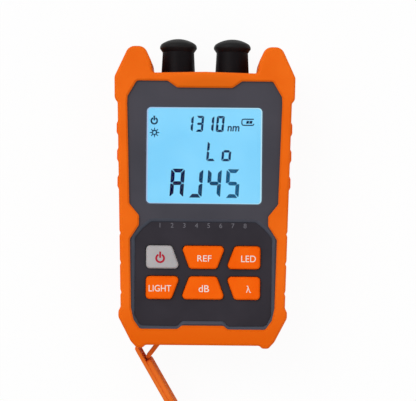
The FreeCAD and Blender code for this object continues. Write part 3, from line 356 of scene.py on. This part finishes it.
SHADERS = {
    "boot_rubber": boot_rubber(),
    "flap_rubber": moulded("flap_look", srgb(233, 114, 38), srgb(241, 121, 45), 0.7, grain=0.28 * MM,
                           relief=0.010 * MM, cloud=20 * MM, specular=0.03),
    "housing_plastic": housing_plastic(),
    "overlay": moulded("overlay_look", srgb(37, 33, 41), srgb(44, 40, 48), 0.38, grain=0.15 * MM,
                       relief=0.004 * MM, cloud=18 * MM, specular=0.18),
    "window": window_plastic(),
    "display": display_light(),
    "backlight": backlight_sheet(),
    "frame_plastic": moulded("display_frame_look", srgb(222, 222, 218), srgb(232, 232, 228), 0.5),
    "board": moulded("board_look", srgb(18, 78, 44), srgb(26, 92, 52), 0.35, grain=0.6 * MM),
    "mat_rubber": moulded("mat_look", srgb(150, 152, 154), srgb(166, 168, 170), 0.6),
    "chip": moulded("chip_look", srgb(24, 24, 26), srgb(34, 34, 36), 0.45, grain=0.1 * MM),
    "light": moulded("wire_light_look", srgb(206, 206, 196), srgb(222, 222, 212), 0.25),
    "key_grey_plastic": key_plastic("key_grey_look", srgb(177, 173, 174), srgb(187, 183, 184)),
    "key_orange_plastic": key_plastic("key_orange_look", srgb(252, 97, 2), srgb(255, 104, 6)),
    "socket_metal": metal("socket_look", srgb(176, 178, 182), srgb(206, 208, 212), 0.3, (1, 6, 6)),
    "contact_metal": metal("contact_look", srgb(212, 170, 86), srgb(236, 198, 112), 0.25, (6, 1, 6)),
    "tongue_plastic": moulded("tongue_look", srgb(26, 26, 28), srgb(36, 36, 38), 0.4),
    "battery_foil": metal("battery_look", srgb(178, 182, 188), srgb(204, 208, 212), 0.35, (2, 2, 2)),
    "port_metal": metal("port_look", srgb(196, 196, 198), srgb(222, 222, 224), 0.26, (6, 1, 6)),
    "cap_rubber": cap_rubber(),
    "torch_clear": torch_plastic(),
    "screw_metal": metal("screw_look", srgb(64, 64, 68), srgb(92, 92, 96), 0.36, (4, 4, 4)),
}
LOOKS = {slot_name: shader.material for slot_name, shader in SHADERS.items()}

WHITE_INK = printed("white_ink", srgb(250, 240, 232)).material
RED_INK = printed("red_ink", srgb(180, 22, 48)).material
GREY_INK = printed("grey_ink", srgb(112, 110, 118)).material
DISPLAY_INK = display_ink("display_ink", srgb(16, 66, 98), srgb(0, 36, 78),
                          start=-20 * MM, end=0).material
NUMBER_INK = display_ink("number_ink", srgb(0, 0, 56), srgb(14, 84, 124),
                         start=-12 * MM, end=14 * MM).material


def dress(node_name, slot):
    """Gives a CAD node its material."""
    node = NODES[node_name]
    node.data.materials.clear()
    node.data.materials.append(LOOKS[slot])


for piece_name, slot_name in [
    ("boot", "boot_rubber"),
    ("rear_housing", "housing_plastic"),
    ("front_housing", "housing_plastic"),
    ("keypad_panel", "overlay"),
    ("window_lens", "window"),
    ("lcd_glass", "display"),
    ("lcd_backlight", "backlight"),
    ("lcd_frame", "frame_plastic"),
    ("main_board", "board"),
    ("microcontroller", "chip"),
    ("wire_leds", "light"),
    ("key_power", "key_grey_plastic"),
    ("key_ref", "key_orange_plastic"),
    ("key_led", "key_orange_plastic"),
    ("key_light", "key_orange_plastic"),
    ("key_db", "key_orange_plastic"),
    ("key_wavelength", "key_orange_plastic"),
    ("network_socket", "socket_metal"),
    ("socket_contacts", "contact_metal"),
    ("charging_socket", "socket_metal"),
    ("charging_tongue", "tongue_plastic"),
    ("battery", "battery_foil"),
    ("fibre_port_left", "port_metal"),
    ("fibre_port_right", "port_metal"),
    ("dust_cap_left", "cap_rubber"),
    ("dust_cap_right", "cap_rubber"),
    ("torch_lens", "torch_clear"),
    ("housing_screws", "screw_metal"),
    ("board_screws", "screw_metal"),
    ("flap_strap", "flap_rubber"),
    ("port_flap", "flap_rubber"),
]:
    dress(piece_name, slot_name)


# Outlines of strokes

ARC_STEPS = 28


def line(start, end, width):
    """Outline of a straight stroke."""
    first = Vector(start)
    last = Vector(end)
    along = (last - first).normalized()
    across = Vector((-along.y, along.x)) * width / 2
    return [tuple(first - across), tuple(last - across), tuple(last + across), tuple(first + across)]


def path_stroke(points, width):
    """Outlines of straight strokes from point to point."""
    return [line(start, end, width) for start, end in zip(points, points[1:])]


def arc_points(centre, radius, start, end, count):
    """Points on an arc, from one angle to another in degrees, counted from +X."""
    angles = [math.radians(start + (end - start) * index / count) for index in range(count + 1)]
    return [(centre[0] + radius * math.cos(angle), centre[1] + radius * math.sin(angle)) for angle in angles]


def arc_stroke(centre, radius, width, start, end):
    """Outlines that together make a curved stroke."""
    outer = arc_points(centre, radius + width / 2, start, end, ARC_STEPS)
    inner = arc_points(centre, radius - width / 2, start, end, ARC_STEPS)
    return [[inner[index], outer[index], outer[index + 1], inner[index + 1]]
            for index in range(ARC_STEPS)]


# Meshes of the scene's own pieces

# Rings of a dome's side from its foot to its top: shares of its radius and of its height
DOME_PROFILE = [(1.0, 0.0), (0.9, 0.5), (0.86, 0.88), (0.8, 1.0)]
DOME_SIDES = 32
LETTER_STEPS = 6


def mesh_of(name, form):
    """A mesh of a closed form, with its faces turned outward."""
    bmesh.ops.recalc_face_normals(form, faces=form.faces)
    mesh = bpy.data.meshes.new(name)
    form.to_mesh(mesh)
    form.free()
    return mesh


def finish_piece(name, mesh, material, body):
    """Links a mesh as a piece that rides on a body."""
    mesh.materials.clear()
    mesh.materials.append(material)
    piece = bpy.data.objects.new(name, mesh)
    bpy.context.scene.collection.objects.link(piece)
    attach(piece, body)
    return piece


def flat_piece(name, outlines, height, material, body, thick=INK_THICK):
    """Thin plates from closed outlines in mm, lying on a surface at a height in metres."""
    form = bmesh.new()
    for outline in outlines:
        low = [form.verts.new((x * MM, y * MM, height)) for x, y in outline]
        high = [form.verts.new((x * MM, y * MM, height + thick)) for x, y in outline]
        form.faces.new(high)
        form.faces.new(low)
        for index in range(len(outline)):
            following = (index + 1) % len(outline)
            form.faces.new((low[index], low[following], high[following], high[index]))
    return finish_piece(name, mesh_of(name, form), material, body)


def dome_piece(name, centre, radius, low, high, body, slot):
    """A rubber dome: a side that leans in, under a flat top with a soft edge."""
    form = bmesh.new()
    rings = []
    for radius_share, height_share in DOME_PROFILE:
        places = arc_points(centre, radius * radius_share, 0, 360, DOME_SIDES)[:-1]
        height = low + (high - low) * height_share
        rings.append([form.verts.new((x, y, height)) for x, y in places])
    for lower, upper in zip(rings, rings[1:]):
        for index in range(DOME_SIDES):
            form.faces.new((lower[index - 1], lower[index], upper[index], upper[index - 1]))
    form.faces.new(rings[0])
    form.faces.new(rings[-1])
    return finish_piece(name, mesh_of(name, form), LOOKS[slot], body)


def word_piece(name, text, box, height, material, body, weight=0.0, lean=0.0):
    """Lettering that fills a box in mm: (left, right, low, high). Where left and right are the
    same, the lettering keeps its own width and is centred there."""
    left, right, low, high = box
    curve = bpy.data.curves.new(name + "_outline", "FONT")
    curve.body = text
    curve.size = 1.0
    curve.offset = weight
    curve.shear = lean
    curve.extrude = 0.5
    curve.resolution_u = LETTER_STEPS
    source = bpy.data.objects.new(name + "_outline", curve)
    bpy.context.scene.collection.objects.link(source)
    bpy.context.view_layer.update()
    mesh = bpy.data.meshes.new_from_object(source.evaluated_get(bpy.context.evaluated_depsgraph_get()))
    mesh.name = name
    bpy.data.objects.remove(source)
    bpy.data.curves.remove(curve)
    corners = [vertex.co for vertex in mesh.vertices]
    own_low = Vector([min(corner[axis] for corner in corners) for axis in range(3)])
    own_high = Vector([max(corner[axis] for corner in corners) for axis in range(3)])
    own_size = own_high - own_low
    if left == right:
        half_width = own_size.x / own_size.y * (high - low) / 2
        left, right = left - half_width, right + half_width
    scale = Matrix.Diagonal(((right - left) * MM / own_size.x, (high - low) * MM / own_size.y,
                             INK_THICK / own_size.z, 1.0))
    place = Matrix.Translation((left * MM, low * MM, height))
    mesh.transform(place @ scale @ Matrix.Translation(-own_low))
    return finish_piece(name, mesh, material, body)


# Signs

def power_icon(centre, radius, width):
    """An open ring with an upright bar."""
    half_gap = 26
    bar_foot = centre[1] + radius * 0.12
    bar_tip = centre[1] + radius * 1.72
    ring = arc_stroke(centre, radius, width, 90 + half_gap, 450 - half_gap)
    return ring + [line((centre[0], bar_foot), (centre[0], bar_tip), width)]


def sun_icon(centre, radius, width):
    """A ring with rays that taper outward."""
    ray_count = 8
    ray_start = radius * 1.35
    ray_end = radius * 2.4
    outlines = arc_stroke(centre, radius, width, 0, 360)
    for index in range(ray_count):
        angle = 2 * math.pi * index / ray_count
        direction = Vector((math.cos(angle), math.sin(angle)))
        across = Vector((-direction.y, direction.x)) * width
        root = Vector(centre) + direction * ray_start
        tip = Vector(centre) + direction * ray_end
        outlines.append([tuple(root - across / 2), tuple(tip - across / 4),
                         tuple(tip + across / 4), tuple(root + across / 2)])
    return outlines


def battery_icon(left, right, low, high, width):
    """A cell outline, open at its lower right, and two slanting bars."""
    radius = 0.7
    end_cut = 0.3
    bar_starts = (1.85, 3.3)
    bar_inset = 0.72
    bar_width = 1.2
    bar_lean = 0.3
    corner = [(left + radius * (1 - math.sin(angle)), high - radius * (1 - math.cos(angle)))
              for angle in (0, math.pi / 4, math.pi / 2)]
    foot = [(x, low + high - y) for x, y in reversed(corner)]
    end = [(right - end_cut, low), (right, low + radius)]
    bars = []
    for bar_start in bar_starts:
        start = left + bar_start
        bars.append([(start, low + bar_inset), (start + bar_width, low + bar_inset),
                     (start + bar_width + bar_lean, high - bar_inset), (start + bar_lean, high - bar_inset)])
    return path_stroke([(right, high)] + corner + foot + end, width) + bars


# Seven-segment digits. Segment a is at the top, and b to f follow clockwise; g is the middle.
SEGMENTS = {
    "0": "abcdef",
    "1": "bc",
    "3": "abcdg",
    "4": "bcfg",
    "5": "acdfg",
    "A": "abcefg",
    "J": "bcd",
    "L": "def",
    "o": "cdeg",
}

# Shares of a segment's stroke: how far the digit's corners are cut off, and how far every corner
# of a segment is rounded
CORNER_CUT = 0.22
CORNER_SOFT = 0.16

# Shares of half the stroke: where the middle segment's tips start, and how long they are
TIP_START = 0.95
TIP_LENGTH = 0.8

# The gap beside the middle segment's tips, as a share of the other gaps
MIDDLE_GAP = 1.4

# A rounded corner takes up at most this share of each side beside it
SOFT_LIMIT = 1 / 2.2
SOFT_STEPS = 4


def softened(outline, cut):
    """An outline whose corners are rounded off, starting at a distance from each corner."""
    soft = []
    for index, corner in enumerate(outline):
        here = Vector(corner)
        before = Vector(outline[index - 1]) - here
        after = Vector(outline[(index + 1) % len(outline)]) - here
        first = here + before.normalized() * min(cut, before.length * SOFT_LIMIT)
        last = here + after.normalized() * min(cut, after.length * SOFT_LIMIT)
        for step in range(SOFT_STEPS + 1):
            share = step / SOFT_STEPS
            soft.append(tuple(first * (1 - share) ** 2 + here * 2 * share * (1 - share) + last * share ** 2))
    return soft


def segment_outlines(letter, left, low, width, height, stroke, gap, lean):
    """Outlines of one digit's lit segments, leaning by a share of the height."""
    middle = height / 2
    half = stroke / 2
    cut = stroke * CORNER_CUT
    foot = middle + gap * MIDDLE_GAP
    upper_right = [(width, height - cut - gap), (width, foot), (width - half, foot),
                   (width - stroke, middle + half + gap), (width - stroke, height - stroke - gap),
                   (width - cut, height - cut - gap)]
    top = [(cut + gap, height), (width - cut - gap, height), (width - stroke - gap, height - stroke),
           (stroke + gap, height - stroke)]
    tip = half * TIP_START + gap
    shoulder = tip + half * TIP_LENGTH
    centre = [(tip, middle), (shoulder, middle + half), (width - shoulder, middle + half),
              (width - tip, middle), (width - shoulder, middle - half), (shoulder, middle - half)]
    shapes = {
        "a": top,
        "b": upper_right,
        "c": [(x, height - y) for x, y in upper_right],
        "d": [(x, height - y) for x, y in top],
        "e": [(width - x, height - y) for x, y in upper_right],
        "f": [(width - x, y) for x, y in upper_right],
        "g": centre,
    }
    return [[(left + x + y * lean, low + y) for x, y in softened(shapes[part], stroke * CORNER_SOFT)]
            for part in SEGMENTS[letter]]


# The window's opening in mm, and how round its corners are
WINDOW_HALF = 25.95
WINDOW_LOW = -2.9
WINDOW_HIGH = 40.4
WINDOW_ROUND = 1.9

# How far the pale border reaches under the window's edge, and into the window at its sides and ends
BORDER_UNDER = 0.4
BORDER_SIDE = 0.5
BORDER_END = 0.28
BORDER_STEPS = 8


def display_mark(name, outlines, material=DISPLAY_INK):
    """A mark on the display, from closed outlines in mm."""
    flat_piece(name, outlines, GLASS_TOP, material, "case")


def number_row(name, text, material, left, low, pitch, **form):
    """A row of digits of one form. Left and low are the first digit's lower left corner."""
    outlines = []
    for index, letter in enumerate(text):
        outlines += segment_outlines(letter, left + index * pitch, low, **form)
    display_mark(name, outlines, material)


def display_border():
    """The pale line that the lit display shows along the edge of its window, brightest on the right."""
    shader = Shader("display_border_look", 0.4, specular=0.0)
    shader.even("Base Color", UNLIT_DISPLAY)
    across = shader.along("X", -WINDOW_HALF * MM, WINDOW_HALF * MM)
    shader.glow(shader.ramp(across, srgb(166, 194, 230), srgb(188, 236, 253), 0.0, 1.0), DISPLAY_GLOW)
    side = WINDOW_HALF - WINDOW_ROUND
    high = WINDOW_HIGH - WINDOW_ROUND
    low = WINDOW_LOW + WINDOW_ROUND
    lift = BORDER_SIDE - BORDER_END
    outer = []
    inner = []
    for x, y, shift, turn in [(side, high, lift, 0), (-side, high, lift, 90),
                              (-side, low, -lift, 180), (side, low, -lift, 270)]:
        outer += arc_points((x, y), WINDOW_ROUND + BORDER_UNDER, turn, turn + 90, BORDER_STEPS)
        inner += arc_points((x, y + shift), WINDOW_ROUND - BORDER_SIDE, turn, turn + 90, BORDER_STEPS)
    outlines = [[inner[index - 1], outer[index - 1], outer[index], inner[index]]
                for index in range(len(outer))]
    display_mark("display_border", outlines, shader.material)


# What the display shows, in mm
number_row("display_reading", "AJ45", NUMBER_INK, left=-15.57, low=-0.15, pitch=8.33,
           width=6.2, height=12.95, stroke=1.7, gap=0.15, lean=0.06)
number_row("display_level", "Lo", DISPLAY_INK, left=0.85, low=16.4, pitch=6.8,
           width=4.2, height=8.95, stroke=1.08, gap=0.11, lean=0.08)
number_row("display_wavelength", "1310", DISPLAY_INK, left=-8.9, low=29.55, pitch=4.64,
           width=3.55, height=7.25, stroke=1.05, gap=0.06, lean=0.08)
word_piece("display_unit", "nm", (10.3, 15.8, 29.9, 32.35), GLASS_TOP, DISPLAY_INK, "case",
           weight=0.023, lean=0.1)
display_mark("display_power_icon", power_icon((-22.7, 34.35), radius=1.34, width=0.78))
display_mark("display_sun_icon", sun_icon((-22.53, 29.06), radius=0.92, width=0.6))
display_mark("display_battery_icon", battery_icon(left=16.85, right=22.2, low=32.7, high=35.45, width=0.52))
display_border()


# How far the plate's top lies below the mat's own, and how near the mat's top a point must lie to count as a
# dome's top
MAT_SKIN = 0.05 * MM


def make_mat():
    """The mat under the keys: a plate, and a dome under each key."""
    low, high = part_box("keypad_mat")
    places = [vertex.co for vertex in NODES["keypad_mat"].data.vertices]
    tops = [place for place in places if high.z - place.z < MAT_SKIN]
    base = min(place.z for place in places if place.z - low.z > MAT_SKIN) - MAT_SKIN
    corners = [(low.x, low.y), (high.x, low.y), (high.x, high.y), (low.x, high.y)]
    plate = flat_piece("mat_plate", [[(x / MM, y / MM) for x, y in corners]], low.z, LOOKS["mat_rubber"],
                       "case", thick=base - low.z)
    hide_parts("keypad_mat")
    for key in ("power", "ref", "led", "light", "db", "wavelength"):
        key_low, key_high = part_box("key_" + key)
        own = [top for top in tops if key_low.x < top.x < key_high.x and key_low.y < top.y < key_high.y]
        left, right = min(top.x for top in own), max(top.x for top in own)
        near, far = min(top.y for top in own), max(top.y for top in own)
        centre = ((left + right) / 2, (near + far) / 2)
        dome = dome_piece("mat_dome_" + key, centre, (right - left) / 2, base, high.z, "case", "mat_rubber")
        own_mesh(dome)


make_mat()


# Key legends and the wire numbers, in mm
WIRE_COUNT = 8
WIRE_MIDDLE = -0.45
WIRE_PITCH = 5.47
WIRE_LOW = -13.75
WIRE_HIGH = -11.65

flat_piece("legend_power", power_icon((-19.3, -27.5), radius=1.75, width=0.86), KEY_TOP, RED_INK,
           "key_power_body")
for legend, words, legend_box, legend_body in [
    ("legend_ref", "REF", (-2.6, 3.7, -28.75, -26.0), "key_ref_body"),
    ("legend_led", "LED", (17.05, 23.6, -28.85, -25.95), "key_led_body"),
    ("legend_light", "LIGHT", (-24.3, -14.25, -42.4, -39.5), "key_light_body"),
    ("legend_db", "dB", (-1.9, 2.75, -42.45, -39.4), "key_db_body"),
    ("legend_wavelength", "λ", (19.4, 21.55, -42.6, -39.4), "key_wavelength_body"),
]:
    word_piece(legend, words, legend_box, KEY_TOP, WHITE_INK, legend_body)

for wire in range(WIRE_COUNT):
    place = WIRE_MIDDLE + (wire - (WIRE_COUNT - 1) / 2) * WIRE_PITCH
    word_piece("wire_number_%d" % (wire + 1), str(wire + 1), (place, place, WIRE_LOW, WIRE_HIGH),
               PANEL_TOP, GREY_INK, "case")


# Floor, light and camera

WHITE = (1.0, 1.0, 1.0, 1.0)
FLOOR_REACH = 3.0
FLOOR_COLOUR = (0.93, 0.93, 0.93, 1.0)
FLOOR_WHITE = 0.94
WORLD_LIGHT = 0.5
LAMP_SIZE = 1.2
SENSOR_WIDTH = 36
CAMERA_DISTANCE = 0.6
CAMERA_REACH = 20
VIEW_X = 1.9 * MM
VIEW_Y = -1.4 * MM
FRAME_WIDTH = 191.7 * MM
ROLL = math.radians(0.57)


def seen_directly(tree):
    """1 for camera, glossy and transmission rays, so that metal and glass show the same backdrop."""
    path = tree.nodes.new("ShaderNodeLightPath")
    total = path.outputs["Is Camera Ray"]
    for kind in ("Is Glossy Ray", "Is Transmission Ray"):
        add = tree.nodes.new("ShaderNodeMath")
        add.operation = "MAXIMUM"
        tree.links.new(total, add.inputs[0])
        tree.links.new(path.outputs[kind], add.inputs[1])
        total = add.outputs["Value"]
    return total


def make_floor():
    """A pale floor. What sees it directly gets mostly plain white, with a share of its shadows."""
    mesh = bpy.data.meshes.new("floor")
    corners = [(-1, -1), (1, -1), (1, 1), (-1, 1)]
    mesh.from_pydata([(x * FLOOR_REACH, y * FLOOR_REACH, 0) for x, y in corners], [], [(0, 1, 2, 3)])
    floor = bpy.data.objects.new("floor", mesh)
    bpy.context.scene.collection.objects.link(floor)
    floor_shader = Shader("floor_look", 0.9, specular=0.0)
    floor_shader.even("Base Color", FLOOR_COLOUR)
    tree = floor_shader.tree
    white = tree.nodes.new("ShaderNodeEmission")
    white.inputs["Color"].default_value = WHITE
    share = tree.nodes.new("ShaderNodeMath")
    share.operation = "MULTIPLY"
    share.inputs[1].default_value = FLOOR_WHITE
    mix = tree.nodes.new("ShaderNodeMixShader")
    tree.links.new(seen_directly(tree), share.inputs[0])
    tree.links.new(share.outputs["Value"], mix.inputs["Fac"])
    tree.links.new(floor_shader.surface.outputs["BSDF"], mix.inputs[1])
    tree.links.new(white.outputs["Emission"], mix.inputs[2])
    tree.links.new(mix.outputs["Shader"], tree.nodes["Material Output"].inputs["Surface"])
    mesh.materials.append(floor_shader.material)


def add_area_light(name, place, power):
    """A square lamp that looks at the origin."""
    data = bpy.data.lights.new(name, "AREA")
    data.shape = "SQUARE"
    data.size = LAMP_SIZE
    data.energy = power
    lamp = bpy.data.objects.new(name, data)
    bpy.context.scene.collection.objects.link(lamp)
    lamp.location = place
    lamp.rotation_euler = (Vector((0, 0, 0)) - Vector(place)).to_track_quat("-Z", "Y").to_euler()


def light_scene():
    """Two lamps, and a world that looks white but gives less light."""
    world = bpy.data.worlds.new("studio")
    world.use_nodes = True
    tree = world.node_tree
    background = tree.nodes["Background"]
    background.inputs["Color"].default_value = WHITE
    strength = tree.nodes.new("ShaderNodeMapRange")
    strength.inputs["To Min"].default_value = WORLD_LIGHT
    strength.inputs["To Max"].default_value = 1.0
    tree.links.new(seen_directly(tree), strength.inputs["Value"])
    tree.links.new(strength.outputs["Result"], background.inputs["Strength"])
    bpy.context.scene.world = world
    add_area_light("key_light", (-0.9, 0.9, 1.5), power=17)
    add_area_light("fill_light", (1.0, -0.6, 1.3), power=5)


def place_camera():
    """Above the display, looking straight down. FRAME_WIDTH is what it sees at the part's mid height."""
    data = bpy.data.cameras.new("camera")
    data.sensor_width = SENSOR_WIDTH
    data.lens = SENSOR_WIDTH * CAMERA_DISTANCE / FRAME_WIDTH
    data.clip_end = CAMERA_REACH
    camera = bpy.data.objects.new("camera", data)
    bpy.context.scene.collection.objects.link(camera)
    mid_plane = (cad_box[0][2] + cad_box[1][2]) / 2
    camera.location = (VIEW_X, VIEW_Y, mid_plane + CAMERA_DISTANCE)
    camera.rotation_euler = (0, 0, ROLL)
    bpy.context.scene.camera = camera


make_floor()
light_scene()
place_camera()
bpy.context.scene.view_settings.view_transform = "Standard"
